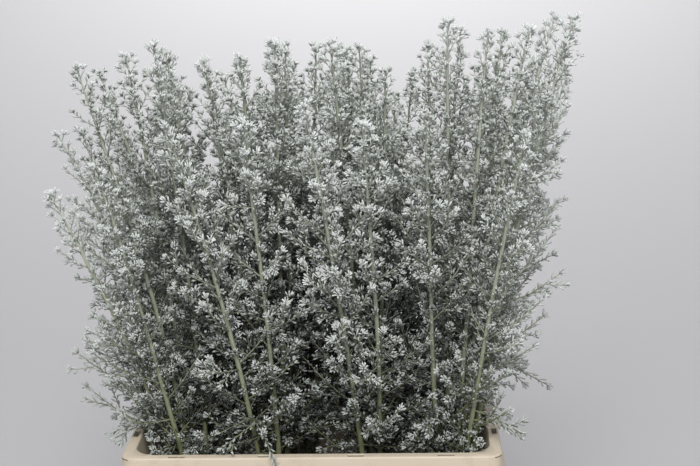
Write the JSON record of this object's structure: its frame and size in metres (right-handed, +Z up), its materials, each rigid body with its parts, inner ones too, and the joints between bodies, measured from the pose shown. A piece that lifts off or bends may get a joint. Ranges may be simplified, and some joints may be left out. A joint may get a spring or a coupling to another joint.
{
  "type": "potted bluebush",
  "caption": "Dense upright sheaf of silver-grey bluebush stems with small fleshy leaves, standing in a cream rectangular plastic container with a turned-over rim.",
  "frame": {"origin": "middle of the container's flat underside", "axes": "+Z up, +X along the container's long side to the right, the front faces -Y"},
  "size_m": [0.5748, 0.3462, 0.732],
  "materials": {
    "plastic": "cream moulded plastic, satin, slightly soiled",
    "leaf": "fleshy leaves with silver-grey felt, matt",
    "stem": "pale grey-green bark, matt, olive towards the foot",
    "rubber_band": "tan natural rubber, matt"
  },
  "bodies": {
    "root": {"container": "plastic", "container_floor": "plastic", "grip_right": "plastic", "grip_left": "plastic", "sprig_01": "leaf", "sprig_02": "leaf", "sprig_03": "leaf", "sprig_04": "leaf", "sprig_05": "leaf", "sprig_06": "leaf", "sprig_07": "leaf", "sprig_08": "leaf", "sprig_09": "leaf", "sprig_10": "leaf", "sprig_11": "leaf", "sprig_12": "leaf", "sprig_13": "leaf", "sprig_14": "leaf", "sprig_15": "leaf", "sprig_16": "leaf", "sprig_17": "leaf", "sprig_18": "leaf", "sprig_19": "leaf", "sprig_20": "leaf", "sprig_21": "leaf", "sprig_22": "leaf", "sprig_23": "leaf", "sprig_24": "leaf", "sprig_25": "leaf", "sprig_26": "leaf", "sprig_27": "leaf", "sprig_28": "leaf", "sprig_29": "leaf", "sprig_30": "leaf", "sprig_31": "leaf", "sprig_32": "leaf", "sprig_33": "leaf", "sprig_34": "leaf", "sprig_35": "leaf", "sprig_36": "leaf", "sprig_37": "leaf", "sprig_38": "leaf", "sprig_39": "leaf", "sprig_40": "leaf", "sprig_41": "leaf", "sprig_42": "leaf", "sprig_43": "leaf", "sprig_44": "leaf", "sprig_45": "leaf", "sprig_46": "leaf", "sprig_47": "leaf", "sprig_48": "leaf", "band_1": "rubber_band", "band_2": "rubber_band", "band_3": "rubber_band", "band_4": "rubber_band", "band_5": "rubber_band", "band_6": "rubber_band", "band_7": "rubber_band", "band_8": "rubber_band"}
  },
  "joints": []
}
